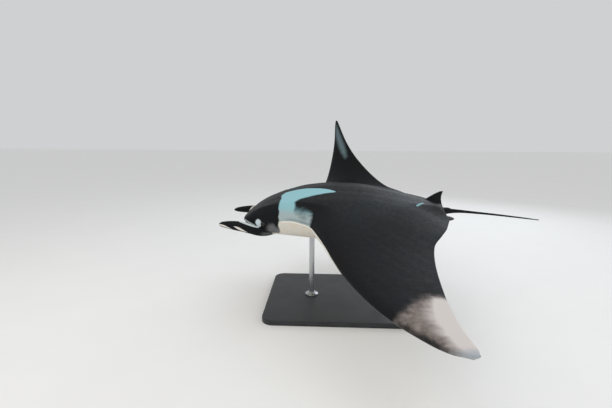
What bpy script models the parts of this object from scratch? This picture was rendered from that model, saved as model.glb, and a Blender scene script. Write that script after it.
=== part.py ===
"""Giant oceanic manta ray, a life-size still model gliding with one wing up, on a display stand.

The body is laid out unbent, in fractions of the disc width: x forward from the upper jaw, y to the
ray's left, z up.  The wings are then flexed about a hinge line, and everything is scaled and turned so
that the ray looks along -Y, with the origin at the centre of the stand's underside.
"""

import math

import bmesh
import bpy
from mathutils import Matrix, Vector

# Driving dimensions (metres and radians unless a note says otherwise)
DISC_WIDTH = 4.50            # wing tip to wing tip with the wings laid flat
BODY_HEIGHT = 1.02           # floor to the level of the mouth
BALANCE_X = -0.245           # body station above the stand's centre, fraction of the disc width
GAP = 0.0004                 # clearance between touching pieces

HEAD_CUT = -0.100            # station where the head meets the trunk, fraction
WING_CUT = 0.122             # half width of head and trunk, fraction
WING_SPAN = 0.495            # half of the disc to the rounded tip, fraction

HINGE_X = -0.25              # a point on each hinge line, fraction
HINGE_Y = 0.10
FLEX_SPAN = 0.40             # spanwise length that bends, fraction
FLEX_KNEE = 0.36             # share of that length over which the root angle builds up
# near wing (left) pressed down, far wing (right) lifted at the end of its stroke
LEFT_WING = {"root": -0.335, "tip": -0.11, "twist": -1.28, "hinge": 0.14, "sweep": -0.024,
             "feather": 0.0, "feather_line": 0.0}
RIGHT_WING = {"root": 0.333, "tip": 2.15, "twist": 1.907, "hinge": 0.389, "sweep": 0.065,
              "feather": -1.046, "feather_line": 0.099}

EYE_CENTRE = (-0.0485, 0.1010, -0.006)
EYE_RADIUS = 0.0300
EYE_SOCKET = 0.0305

BASE_SIZE = (1.30, 1.80, 0.050)
ROD_RADIUS = 0.030
ROD_STATIONS = (("front", -0.155), ("rear", -0.345))
COLLAR_RADIUS = 0.075
COLLAR_HEIGHT = 0.030

POINTS_ALONG = 15            # points between nose and tail on each face of a body section


def curve(stations):
    """Monotone cubic through (position, value) pairs, flat beyond its ends."""
    xs = [s[0] for s in stations]
    ys = [s[1] for s in stations]
    steps = [(ys[i + 1] - ys[i]) / (xs[i + 1] - xs[i]) for i in range(len(xs) - 1)]
    slopes = [steps[0]]
    for before, after in zip(steps, steps[1:]):
        slopes.append(0.0 if before * after <= 0 else 2 * before * after / (before + after))
    slopes.append(steps[-1])

    def value(x):
        if x <= xs[0]:
            return ys[0]
        if x >= xs[-1]:
            return ys[-1]
        i = max(k for k in range(len(xs) - 1) if xs[k] <= x)
        width = xs[i + 1] - xs[i]
        t = (x - xs[i]) / width
        return (ys[i] * (1 + 2 * t) * (1 - t) ** 2 + slopes[i] * width * t * (1 - t) ** 2
                + ys[i + 1] * t * t * (3 - 2 * t) + slopes[i + 1] * width * t * t * (t - 1))

    return value


# Outline of the flat disc: front and rear edge at each spanwise station
FRONT_EDGE = curve([(0.0, 0.004), (0.045, 0.003), (0.070, 0.001), (0.080, -0.004), (0.090, -0.015),
                    (0.099, -0.033), (0.108, -0.059), (0.118, -0.091), (0.150, -0.150), (0.200, -0.169),
                    (0.280, -0.197), (0.380, -0.243), (0.450, -0.288), (0.478, -0.309), (0.495, -0.330)])
REAR_EDGE = curve([(0.0, -0.478), (0.045, -0.473), (0.070, -0.467), (0.105, -0.453), (0.135, -0.440),
                   (0.170, -0.419), (0.220, -0.387), (0.280, -0.369), (0.340, -0.357), (0.400, -0.347),
                   (0.450, -0.3425), (0.480, -0.3425), (0.495, -0.3400)])

# Mid-line profile of head and trunk, by distance behind the upper jaw
BACK_LINE = curve([(0.0, 0.006), (0.02, 0.020), (0.05, 0.037), (0.10, 0.057), (0.15, 0.068),
                   (0.20, 0.0725), (0.26, 0.071), (0.33, 0.0605), (0.40, 0.044), (0.45, 0.031), (0.48, 0.022)])
BELLY_LINE = curve([(0.0, 0.018), (0.015, 0.026), (0.05, 0.0315), (0.10, 0.0345), (0.15, 0.0375),
                    (0.20, 0.0415), (0.30, 0.0405), (0.38, 0.031), (0.44, 0.021), (0.48, 0.014)])
# How the trunk's depth fades across the span, and the wing's own half thickness
TRUNK_FADE = curve([(0.0, 1.0), (0.04, 0.965), (0.08, 0.85), (0.11, 0.70), (0.15, 0.44), (0.20, 0.20),
                    (0.25, 0.08), (0.31, 0.02), (0.36, 0.0)])
WING_HALF = curve([(0.07, 0.0), (0.10, 0.003), (0.15, 0.010), (0.20, 0.0135), (0.26, 0.0125),
                   (0.33, 0.0095), (0.40, 0.0060), (0.46, 0.0036), (0.495, 0.0018)])
NOSE_ROUND = curve([(0.0, 0.018), (0.07, 0.026), (0.10, 0.034), (0.13, 0.045), (0.20, 0.070), (0.30, 0.060)])
TAIL_ROUND = curve([(0.0, 0.010), (0.05, 0.030), (0.10, 0.10), (0.20, 0.14), (0.30, 0.12)])
EDGE_HALF = 0.0011           # half thickness of the wing's rear edge, fraction


def airfoil(s):
    """Half thickness of a closed wing section at chord fraction s, its greatest value about one."""
    return 10 * (0.2969 * math.sqrt(s) - 0.1260 * s - 0.3516 * s ** 2 + 0.2843 * s ** 3 - 0.1036 * s ** 4)


def body_heights(x, y):
    """Top and bottom of the unbent body at a point inside its outline."""
    y = abs(y)
    front = FRONT_EDGE(y)
    rear = REAR_EDGE(y)
    ahead = max(front - x, 0.0)
    behind = max(x - rear, 0.0)
    chord = front - rear
    nose = math.sqrt(max(0.0, 1 - (1 - min(ahead / min(NOSE_ROUND(y), chord), 1.0)) ** 2))
    tail = 1 - (1 - min(behind / min(TAIL_ROUND(y), chord), 1.0)) ** 2
    trunk = TRUNK_FADE(y) * nose * tail
    s = min(max(ahead / chord, 0.0), 1.0)
    wing = WING_HALF(y) * airfoil(s)
    blunt = math.sqrt(max(0.0, 1 - (1 - min(min(ahead, behind) / (2 * EDGE_HALF), 1.0)) ** 2))
    edge = EDGE_HALF * blunt
    top = max(BACK_LINE(-x) * trunk + 1.12 * wing, 0.0) + edge
    bottom = max(BELLY_LINE(-x) * trunk + 0.88 * wing, 0.0) + edge
    return top, -bottom


def body_section(y):
    """Closed loop of the section at station y: over the back from nose to tail, home under the belly."""
    front = FRONT_EDGE(abs(y))
    chord = front - REAR_EDGE(abs(y))
    over = []
    under = []
    for i in range(POINTS_ALONG + 1):
        s = 0.5 * (1 - math.cos(math.pi * i / POINTS_ALONG))
        x = front - chord * s
        top, bottom = body_heights(x, y)
        over.append(Vector((x, y, top)))
        under.append(Vector((x, y, bottom)))
    return over + under[-2:0:-1]


def flex(point):
    """Bend a point of the flat layout with its wing."""
    x, y, z = point
    side = 1.0 if y >= 0 else -1.0
    wing = LEFT_WING if y >= 0 else RIGHT_WING
    span = abs(y)
    x += wing["sweep"] * max((span - WING_CUT) / (WING_SPAN - WING_CUT), 0.0) ** 1.5
    along = math.cos(wing["hinge"])
    across = math.sin(wing["hinge"])
    ahead = along * (x - HINGE_X) + across * (span - HINGE_Y)
    out = along * (span - HINGE_Y) - across * (x - HINGE_X)
    if out <= 0:
        return Vector((x, y, z))

    def angle(reach):
        u = reach / FLEX_SPAN
        bend = wing["root"] * min(u / FLEX_KNEE, 1.0)
        bend += (wing["tip"] - wing["root"]) * max(u - FLEX_KNEE, 0.0) / (1 - FLEX_KNEE)
        return bend + wing["twist"] * ahead * u

    steps = 24
    reach = 0.0
    lift = 0.0
    for i in range(steps):
        a = angle(out * (i + 0.5) / steps)
        reach += math.cos(a) * out / steps
        lift += math.sin(a) * out / steps
    tilt = angle(out)
    # The chord turns about a line along the wing, more toward the tip
    share = out / FLEX_SPAN
    line = wing["feather_line"] * share
    turn = wing["feather"] * share ** 2
    chord = ahead - line
    ahead = line + chord * math.cos(turn) - z * math.sin(turn)
    rise = chord * math.sin(turn) + z * math.cos(turn)
    reach -= math.sin(tilt) * rise
    lift += math.cos(tilt) * rise
    new_x = HINGE_X + along * ahead - across * reach
    new_span = HINGE_Y + across * ahead + along * reach
    return Vector((new_x, side * new_span, lift))


def place(point):
    """From body fractions to the world in metres."""
    x, y, z = point
    return Vector((DISC_WIDTH * y, -DISC_WIDTH * (x - BALANCE_X), DISC_WIDTH * z + BODY_HEIGHT))


def material(name, colour, roughness, metallic=0.0):
    mat = bpy.data.materials.new(name)
    mat.use_nodes = True
    shader = mat.node_tree.nodes["Principled BSDF"]
    shader.inputs["Base Color"].default_value = (*colour, 1.0)
    shader.inputs["Roughness"].default_value = roughness
    shader.inputs["Metallic"].default_value = metallic
    return mat


def new_object(name, mesh, collection):
    obj = bpy.data.objects.new(name, mesh)
    collection.objects.link(obj)
    return obj


def loft(loops, strip_ends=True, closed_points=()):
    """Mesh through equal closed loops; each end is filled by strips across the loop, or by a fan."""
    bm = bmesh.new()
    rings = [[bm.verts.new(p) for p in loop] for loop in loops]
    count = len(rings[0])
    for one, two in zip(rings, rings[1:]):
        for i in range(count):
            j = (i + 1) % count
            bm.faces.new((one[i], one[j], two[j], two[i]))
    ends = [point for point in closed_points]
    for ring, point in zip((rings[0], rings[-1]), ends):
        tip = bm.verts.new(point)
        for i in range(count):
            bm.faces.new((ring[i], ring[(i + 1) % count], tip))
    if strip_ends:
        for ring in (rings[0], rings[-1]):
            half = count // 2
            for i in range(half):
                a, b = ring[i], ring[i + 1]
                c, d = ring[(count - i - 1) % count], ring[(count - i) % count]
                corners = [a, b, c, d]
                if i == 0:
                    corners = [a, b, c]
                if i == half - 1:
                    corners = [a, b, d]
                bm.faces.new(corners)
    bmesh.ops.triangulate(bm, faces=[f for f in bm.faces if len(f.verts) > 3], quad_method="FIXED")
    bmesh.ops.recalc_face_normals(bm, faces=bm.faces)
    return bm


def finish_mesh(bm, name, mat, bend=True):
    """Flex and place a flat mesh, turn its faces out, and give it its material."""
    for vert in bm.verts:
        vert.co = place(flex(vert.co) if bend else vert.co)
    bmesh.ops.recalc_face_normals(bm, faces=bm.faces)
    if bm.calc_volume(signed=True) < 0:
        bmesh.ops.reverse_faces(bm, faces=bm.faces)
    mesh = bpy.data.meshes.new(name)
    bm.to_mesh(mesh)
    bm.free()
    mesh.materials.append(mat)
    mesh.shade_smooth()
    mesh.set_sharp_from_angle(angle=math.radians(50))
    return mesh


def cut_at(bm, station, keep_front):
    """Keep the part of a flat mesh ahead of a station, or behind it, and close the cut."""
    geom = bm.verts[:] + bm.edges[:] + bm.faces[:]
    cut = bmesh.ops.bisect_plane(bm, geom=geom, plane_co=(station, 0, 0), plane_no=(1, 0, 0),
                                 clear_inner=keep_front, clear_outer=not keep_front, dist=1e-6)
    edges = [e for e in cut["geom_cut"] if isinstance(e, bmesh.types.BMEdge)]
    bmesh.ops.edgeloop_fill(bm, edges=edges)


def boolean(obj, cutter, operation="DIFFERENCE"):
    mod = obj.modifiers.new("cut", "BOOLEAN")
    mod.operation = operation
    mod.object = cutter
    mod.solver = "EXACT"


def grown_cutter(name, source, growth):
    """A wire copy of a piece, swollen by a clearance, to cut the pieces that meet it."""
    cutter = new_object(name, source.data, CUTTERS)
    cutter.hide_render = True
    cutter.display_type = "WIRE"
    for mod in source.modifiers:
        copy = cutter.modifiers.new(mod.name, mod.type)
        copy.operation = mod.operation
        copy.object = mod.object
        copy.solver = mod.solver
    swell = cutter.modifiers.new("swell", "DISPLACE")
    swell.mid_level = 0.0
    swell.strength = growth
    return cutter


def half_stations():
    inner = [0.0, 0.014, 0.028, 0.042, 0.056, 0.068, 0.078, 0.087, 0.095, 0.102, 0.108, 0.113, 0.118]
    return inner


def wing_stations():
    return [0.130, 0.141, 0.155, 0.173, 0.195, 0.220, 0.247, 0.275, 0.303, 0.331, 0.358, 0.385, 0.410,
            0.433, 0.452, 0.467, 0.479, 0.488, 0.4925]


def build_trunk_and_head():
    edge = WING_CUT - 0.5 * GAP / DISC_WIDTH
    inner = half_stations() + [edge]
    stations = [-y for y in reversed(inner)] + inner[1:]
    gap = 0.5 * GAP / DISC_WIDTH
    pieces = {}
    for name, mat, front in (("head", SKIN_HEAD, True), ("trunk", SKIN_TRUNK, False)):
        bm = loft([body_section(y) for y in stations])
        cut_at(bm, HEAD_CUT + (gap if front else -gap), front)
        pieces[name] = new_object(name, finish_mesh(bm, name, mat), PARTS)
    return pieces["head"], pieces["trunk"]


def build_wing(side):
    sign = 1 if side == "left" else -1
    stations = [WING_CUT + 0.5 * GAP / DISC_WIDTH] + wing_stations() + [WING_SPAN]
    loops = [body_section(sign * y) for y in stations]
    name = "pectoral_fin_" + side
    return new_object(name, finish_mesh(loft(loops), name, SKIN_WING), PARTS)


# Axis of the furled head fin: station, span, height, radius and share of its scroll that is open
HORN_AXIS = [(-0.076, 0.0960, -0.0260, 0.0062), (-0.056, 0.1005, -0.0252, 0.0086),
             (-0.036, 0.1030, -0.0212, 0.0114), (-0.012, 0.1020, -0.0142, 0.0130),
             (0.012, 0.0980, -0.0115, 0.0122), (0.031, 0.0935, -0.0108, 0.0100),
             (0.045, 0.0895, -0.0110, 0.0074), (0.0565, 0.0865, -0.0116, 0.0042)]
HORN_TURNS = 1.25            # turns of the scroll
HORN_SHEET = 0.0030          # thickness of the furled fin at its root, fraction
HORN_POINTS = 15
HORN_REACH = {"left": 0.0, "right": 0.007}   # how much further forward each one is held


def build_horn(side):
    """A head fin furled into a scroll around its own axis, tapering forward to a rounded point."""
    sign = 1 if side == "left" else -1
    loops = []
    for x, y, z, radius in HORN_AXIS:
        x += HORN_REACH[side] * max(x, 0.0) / HORN_AXIS[-1][0]
        sheet = min(HORN_SHEET, 0.40 * radius)
        outer = []
        inner = []
        for i in range(HORN_POINTS + 1):
            turn = i / HORN_POINTS
            a = math.radians(-100) - 2 * math.pi * HORN_TURNS * turn
            r = radius * (1 - 0.52 * turn)
            end = math.sqrt(max(0.0, 1 - (1 - min(min(turn, 1 - turn) / 0.08, 1.0)) ** 2))
            width = sheet * (0.35 + 0.65 * end)
            for ring, rad in ((outer, r), (inner, r - width)):
                ring.append(Vector((x, sign * (y + 0.62 * rad * math.cos(a)), z + rad * math.sin(a))))
        loops.append(outer + inner[::-1])
    name = "cephalic_fin_" + side
    return new_object(name, finish_mesh(strip_loft(loops), name, SKIN_HEAD, bend=False), PARTS)


def strip_loft(loops):
    """Loft of thin bands, whose loops run along one face of the sheet and back along the other."""
    bm = bmesh.new()
    rings = [[bm.verts.new(p) for p in loop] for loop in loops]
    count = len(rings[0])
    for one, two in zip(rings, rings[1:]):
        for i in range(count):
            j = (i + 1) % count
            bm.faces.new((one[i], one[j], two[j], two[i]))
    for ring in (rings[0], rings[-1]):
        for i in range(count // 2 - 1):
            bm.faces.new((ring[i], ring[i + 1], ring[count - 2 - i], ring[count - 1 - i]))
    bmesh.ops.triangulate(bm, faces=[f for f in bm.faces if len(f.verts) > 3], quad_method="FIXED")
    bmesh.ops.recalc_face_normals(bm, faces=bm.faces)
    return bm


def ellipse_loop(centre, across, up, half_width, half_height, count):
    loop = []
    for i in range(count):
        a = 2 * math.pi * i / count
        loop.append(Vector(centre) + Vector(across) * half_width * math.cos(a)
                    + Vector(up) * half_height * math.sin(a))
    return loop


TAIL_START = -0.466
TAIL_END = -0.708
TAIL_DROP = curve([(0.466, 0.0085), (0.50, 0.0090), (0.56, 0.0050), (0.65, -0.0040), (0.71, -0.0110)])
TAIL_WIDTH = curve([(0.462, 0.0150), (0.478, 0.0095), (0.495, 0.0056), (0.52, 0.0038), (0.56, 0.0028),
                    (0.64, 0.0020), (0.71, 0.0011)])
TAIL_HEIGHT = curve([(0.462, 0.0120), (0.478, 0.0084), (0.495, 0.0056), (0.52, 0.0038), (0.56, 0.0028),
                     (0.64, 0.0020), (0.71, 0.0011)])
TAIL_CUTS = (TAIL_START, -0.535, -0.620, TAIL_END)


def build_tail():
    lengths = []
    gap = 0.5 * GAP / DISC_WIDTH
    for name, start, end in zip(("tail_base", "tail_middle", "tail_tip"), TAIL_CUTS, TAIL_CUTS[1:]):
        loops = []
        steps = 7
        for i in range(steps + 1):
            x = start - gap + (end - start + 2 * gap) * i / steps
            loops.append(ellipse_loop((x, 0, TAIL_DROP(-x)), (0, 1, 0), (0, 0, 1),
                                      TAIL_WIDTH(-x), TAIL_HEIGHT(-x), 14))
        lengths.append(new_object(name, finish_mesh(loft(loops), name, SKIN_TRUNK, bend=False), PARTS))
    return lengths


def fin_loop(z, lead, trail, half, count=10):
    """Flat section of an upright fin between its leading and trailing edge."""
    loop = []
    for i in range(count + 1):
        s = 0.5 * (1 - math.cos(math.pi * i / count))
        width = half * max(airfoil(s), 0.0) + 0.0004
        loop.append((lead + (trail - lead) * s, width, z))
    left = [Vector(p) for p in loop]
    right = [Vector((p[0], -p[1], p[2])) for p in loop]
    return left + right[::-1]


DORSAL_STATIONS = [(0.018, -0.403, -0.474, 0.0050), (0.030, -0.417, -0.4705, 0.0042),
                   (0.038, -0.430, -0.4690, 0.0036), (0.046, -0.443, -0.4690, 0.0028),
                   (0.053, -0.455, -0.4705, 0.0019), (0.0575, -0.465, -0.4730, 0.0010)]


def build_dorsal_fin():
    loops = [fin_loop(*station) for station in DORSAL_STATIONS]
    name = "dorsal_fin"
    return new_object(name, finish_mesh(strip_loft(loops), name, SKIN_TRUNK, bend=False), PARTS)


PELVIC_STATIONS = [(0.015, -0.440, -0.4830), (0.024, -0.436, -0.4890), (0.036, -0.434, -0.4900),
                   (0.047, -0.434, -0.4850), (0.056, -0.438, -0.4750)]


def build_pelvic_fin(side):
    """A small lobe beside the root of the tail, just under the disc's rear edge."""
    sign = 1 if side == "left" else -1
    loops = []
    for y, front, rear in PELVIC_STATIONS:
        over = []
        under = []
        steps = 7
        for i in range(steps + 1):
            s = 0.5 * (1 - math.cos(math.pi * i / steps))
            half = 0.0042 * max(airfoil(s), 0.0) + 0.0007
            x = front + (rear - front) * s
            over.append(Vector((x, sign * y, -0.002 + half)))
            under.append(Vector((x, sign * y, -0.002 - half)))
        loops.append(over + under[::-1])
    name = "pelvic_fin_" + side
    return new_object(name, finish_mesh(strip_loft(loops), name, SKIN_TRUNK), PARTS)


def build_eye(side, head):
    sign = 1 if side == "left" else -1
    x, y, z = EYE_CENTRE
    centre = place(Vector((x, sign * y, z)))
    turn = Matrix.Translation(centre) @ Matrix.Rotation(math.radians(90), 4, "Y")
    pair = []
    for radius, name in ((EYE_RADIUS, "eye_" + side), (EYE_SOCKET, "socket_" + side)):
        bm = bmesh.new()
        bmesh.ops.create_uvsphere(bm, u_segments=20, v_segments=12, radius=radius)
        mesh = bpy.data.meshes.new(name)
        bm.to_mesh(mesh)
        bm.free()
        mesh.shade_smooth()
        pair.append(mesh)
    pair[0].materials.append(EYE_MATERIAL)
    eye = new_object("eye_" + side, pair[0], PARTS)
    eye.matrix_world = turn
    socket = new_object("socket_" + side, pair[1], CUTTERS)
    socket.matrix_world = turn
    socket.hide_render = True
    socket.display_type = "WIRE"
    boolean(head, socket)
    return eye


def cylinder(name, radius, height, centre, mat, segments=32):
    bm = bmesh.new()
    bmesh.ops.create_cone(bm, cap_ends=True, segments=segments, radius1=radius, radius2=radius, depth=height)
    mesh = bpy.data.meshes.new(name)
    bm.to_mesh(mesh)
    bm.free()
    mesh.materials.append(mat)
    mesh.shade_smooth()
    mesh.set_sharp_from_angle(angle=math.radians(40))
    obj = new_object(name, mesh, PARTS)
    obj.location = centre
    return obj


def build_stand(trunk):
    bpy.ops.mesh.primitive_cube_add(size=1, location=(0, 0, BASE_SIZE[2] / 2))
    base = bpy.context.object
    base.name = "stand_base"
    base.data.name = "stand_base"
    base.data.transform(Matrix.Diagonal((*BASE_SIZE, 1)))
    for owner in list(base.users_collection):
        owner.objects.unlink(base)
    PARTS.objects.link(base)
    base.data.materials.append(STAND_PAINT)
    bm = bmesh.new()
    bm.from_mesh(base.data)
    corners = [e for e in bm.edges if abs(e.verts[0].co.z - e.verts[1].co.z) > 0.5 * BASE_SIZE[2]]
    bmesh.ops.bevel(bm, geom=corners, offset=0.12, segments=6, profile=0.5, affect="EDGES")
    rim = [e for e in bm.edges if min(v.co.z for v in e.verts) > 0.4 * BASE_SIZE[2]]
    bmesh.ops.bevel(bm, geom=rim, offset=0.008, segments=2, profile=0.5, affect="EDGES")
    bm.to_mesh(base.data)
    bm.free()
    belly = grown_cutter("belly_clearance", trunk, 0.0005)
    for place_name, station in ROD_STATIONS:
        at = place(Vector((station, 0, 0)))
        foot = BASE_SIZE[2] + 0.0003
        cylinder("stand_collar_" + place_name, COLLAR_RADIUS, COLLAR_HEIGHT,
                 (at.x, at.y, foot + COLLAR_HEIGHT / 2), STAND_STEEL)
        start = foot + COLLAR_HEIGHT + 0.0003
        end = BODY_HEIGHT - DISC_WIDTH * 0.030
        rod = cylinder("stand_rod_" + place_name, ROD_RADIUS, end - start,
                       (at.x, at.y, (start + end) / 2), STAND_STEEL)
        boolean(rod, belly)


for old in list(bpy.data.objects):
    bpy.data.objects.remove(old, do_unlink=True)

PARTS = bpy.data.collections.new("manta_ray")
CUTTERS = bpy.data.collections.new("cutters")
bpy.context.scene.collection.children.link(PARTS)
bpy.context.scene.collection.children.link(CUTTERS)

SKIN_TRUNK = material("skin_back_black", (0.020, 0.023, 0.028), 0.55)
SKIN_WING = material("skin_wing_black", (0.022, 0.024, 0.029), 0.55)
SKIN_HEAD = material("skin_head_black", (0.024, 0.026, 0.030), 0.50)
EYE_MATERIAL = material("eye_wet_dark", (0.010, 0.010, 0.012), 0.12)
STAND_PAINT = material("stand_paint_charcoal", (0.060, 0.062, 0.065), 0.45)
STAND_STEEL = material("stand_steel", (0.52, 0.53, 0.54), 0.30, 1.0)

head, trunk = build_trunk_and_head()
wings = [build_wing(side) for side in ("left", "right")]
for eye_side in ("left", "right"):
    build_eye(eye_side, head)
head_clearance = grown_cutter("head_clearance", head, 0.0005)
trunk_clearance = grown_cutter("trunk_clearance", trunk, 0.0005)
for horn_side in ("left", "right"):
    horn = build_horn(horn_side)
    boolean(horn, head_clearance)
for tail_length in build_tail()[:1]:
    boolean(tail_length, trunk_clearance)
boolean(build_dorsal_fin(), trunk_clearance)
for lobe_side in ("left", "right"):
    boolean(build_pelvic_fin(lobe_side), trunk_clearance)
build_stand(trunk)
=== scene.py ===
import math
import time

import bmesh
import bpy
import numpy as np
from mathutils import Matrix, Vector


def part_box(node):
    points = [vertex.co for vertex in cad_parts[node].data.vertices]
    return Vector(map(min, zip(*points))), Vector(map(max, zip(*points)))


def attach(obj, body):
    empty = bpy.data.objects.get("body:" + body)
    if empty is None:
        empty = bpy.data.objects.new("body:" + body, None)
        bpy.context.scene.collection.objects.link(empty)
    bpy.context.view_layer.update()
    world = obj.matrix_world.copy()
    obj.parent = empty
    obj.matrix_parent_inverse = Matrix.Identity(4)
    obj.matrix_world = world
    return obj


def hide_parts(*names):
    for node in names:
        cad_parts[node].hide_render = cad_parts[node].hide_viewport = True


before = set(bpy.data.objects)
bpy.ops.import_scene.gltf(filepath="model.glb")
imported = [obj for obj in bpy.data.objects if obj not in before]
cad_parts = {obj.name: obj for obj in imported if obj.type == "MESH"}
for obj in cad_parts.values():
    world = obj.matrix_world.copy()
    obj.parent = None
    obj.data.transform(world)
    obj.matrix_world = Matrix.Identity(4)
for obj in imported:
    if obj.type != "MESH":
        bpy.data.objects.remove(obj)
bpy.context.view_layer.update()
started = time.time()


def report(words):
    print(f"manta: {words} ({time.time() - started:.0f} s)")


def addObject(name, data):
    made = bpy.data.objects.new(name, data)
    bpy.context.scene.collection.objects.link(made)
    return made


def faceOutward(mesh):
    turned = bmesh.new()
    turned.from_mesh(mesh)
    bmesh.ops.recalc_face_normals(turned, faces=turned.faces)
    turned.to_mesh(mesh)
    turned.free()


# The ray is laid out flat, in shares of its disc width: x forward from the upper jaw, y to its left, z up.
# Its wings are then bent, and it is turned to look along -Y, above the middle of its stand.
layout = {
    "discWidth": 4.50,        # metres, tip to tip, laid flat
    "bodyHeight": 1.02,       # metres, floor to mouth
    "balanceX": -0.245,       # station above the stand's middle
    "wingStart": 0.122,
    "halfSpan": 0.495,
    "edgeHalf": 0.0012,       # half thickness of the fins' free edges
    "sections": 421, "sectionPoints": 73,
}
flexing = {                   # angles in radians, lengths in shares of the width
    "hingeX": -0.25, "hingeY": 0.10, "span": 0.40, "knee": 0.36, "steps": 24,
    "left": {"root": -0.335, "tip": -0.11, "twist": -1.28, "hinge": 0.14, "sweep": -0.024,
             "feather": 0.0, "featherLine": 0.0},
    "right": {"root": 0.333, "tip": 2.15, "twist": 1.907, "hinge": 0.389, "sweep": 0.065,
              "feather": -1.046, "featherLine": 0.099},
}
width = layout["discWidth"]


def course(stations):
    # smooth curve through (position, value) pairs that never overshoots them
    xs, ys = np.array(stations, float).T
    steps = np.diff(ys) / np.diff(xs)
    before, after = steps[:-1], steps[1:]
    both = np.where(before + after == 0, 1.0, before + after)
    inner = np.where(before * after > 0, 2 * before * after / both, 0.0)
    slopes = np.concatenate(([steps[0]], inner, [steps[-1]]))

    def value(x):
        x = np.clip(x, xs[0], xs[-1])
        i = np.clip(np.searchsorted(xs, x, side="right") - 1, 0, len(xs) - 2)
        gap = xs[i + 1] - xs[i]
        t = (x - xs[i]) / gap
        return (ys[i] * (1 + 2 * t) * (1 - t) ** 2 + slopes[i] * gap * t * (1 - t) ** 2
                + ys[i + 1] * t * t * (3 - 2 * t) + slopes[i + 1] * gap * t * t * (t - 1))

    return value


def smooth(x, low, high):
    # 0 below low, 1 above high, and a soft step between
    t = np.clip((x - low) / (high - low), 0.0, 1.0)
    return t * t * (3 - 2 * t)


def bump(x, halfWidth):
    # 1 at zero, fading away on both sides
    return np.exp(-(x / halfWidth) ** 2)


# outline of the flat disc
frontEdge = course([(0.0, 0.004), (0.045, 0.003), (0.070, 0.001), (0.080, -0.004), (0.090, -0.015),
                    (0.099, -0.033), (0.108, -0.059), (0.118, -0.091), (0.150, -0.150), (0.200, -0.169),
                    (0.280, -0.197), (0.380, -0.243), (0.450, -0.288), (0.478, -0.309), (0.495, -0.330)])
rearEdge = course([(0.0, -0.478), (0.045, -0.473), (0.070, -0.467), (0.105, -0.453), (0.135, -0.440),
                   (0.170, -0.419), (0.220, -0.387), (0.280, -0.369), (0.340, -0.357), (0.400, -0.347),
                   (0.450, -0.3425), (0.480, -0.3425), (0.495, -0.3400)])
# profile along the mid line, and how it thins across the wings
backLine = course([(0.0, 0.006), (0.02, 0.020), (0.05, 0.037), (0.10, 0.057), (0.15, 0.068),
                   (0.20, 0.0725), (0.26, 0.071), (0.33, 0.0605), (0.40, 0.044), (0.45, 0.031),
                   (0.48, 0.022)])
bellyLine = course([(0.0, 0.018), (0.015, 0.026), (0.05, 0.0315), (0.10, 0.0345), (0.15, 0.0375),
                    (0.20, 0.0415), (0.30, 0.0405), (0.38, 0.031), (0.44, 0.021), (0.48, 0.014)])
trunkFade = course([(0.0, 1.0), (0.04, 0.965), (0.08, 0.85), (0.11, 0.70), (0.15, 0.44), (0.20, 0.20),
                    (0.25, 0.08), (0.31, 0.02), (0.36, 0.0)])
wingHalf = course([(0.07, 0.0), (0.10, 0.003), (0.15, 0.010), (0.20, 0.0135), (0.26, 0.0125),
                   (0.33, 0.0095), (0.40, 0.0060), (0.46, 0.0036), (0.495, 0.0018)])
noseRound = course([(0.0, 0.018), (0.07, 0.026), (0.10, 0.034), (0.13, 0.045), (0.20, 0.070), (0.30, 0.060)])
tailRound = course([(0.0, 0.010), (0.05, 0.030), (0.10, 0.10), (0.20, 0.14), (0.30, 0.12)])


def eased(count):
    # steps from 0 to 1, closer together at both ends
    return 0.5 * (1 - np.cos(np.pi * np.linspace(0, 1, count)))


def circle(count):
    return np.linspace(0, 2 * np.pi, count + 1)[:-1]


def wingSection(s):
    # half thickness of a fin from its front (0) to its rear (1): round in front, thin behind
    return 10 * (0.2969 * np.sqrt(s) - 0.1260 * s - 0.3516 * s ** 2 + 0.2843 * s ** 3 - 0.1036 * s ** 4)


def bodyHeights(x, y):
    # top and underside of the flat body
    y = np.abs(y)
    front, rear = frontEdge(y), rearEdge(y)
    chord = front - rear
    ahead = np.maximum(front - x, 0.0)
    behind = np.maximum(x - rear, 0.0)
    nose = np.sqrt(np.maximum(0, 1 - (1 - np.minimum(ahead / np.minimum(noseRound(y), chord), 1)) ** 2))
    tail = 1 - (1 - np.minimum(behind / np.minimum(tailRound(y), chord), 1)) ** 2
    trunk = trunkFade(y) * nose * tail
    wing = wingHalf(y) * np.maximum(wingSection(np.clip(ahead / chord, 0, 1)), 0)
    edge = layout["edgeHalf"]
    blunt = np.sqrt(np.maximum(0, 1 - (1 - np.minimum(np.minimum(ahead, behind) / (2 * edge), 1)) ** 2))
    top = backLine(-x) * trunk + 1.12 * wing + edge * blunt
    bottom = bellyLine(-x) * trunk + 0.88 * wing + edge * blunt
    return top, -bottom


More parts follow.
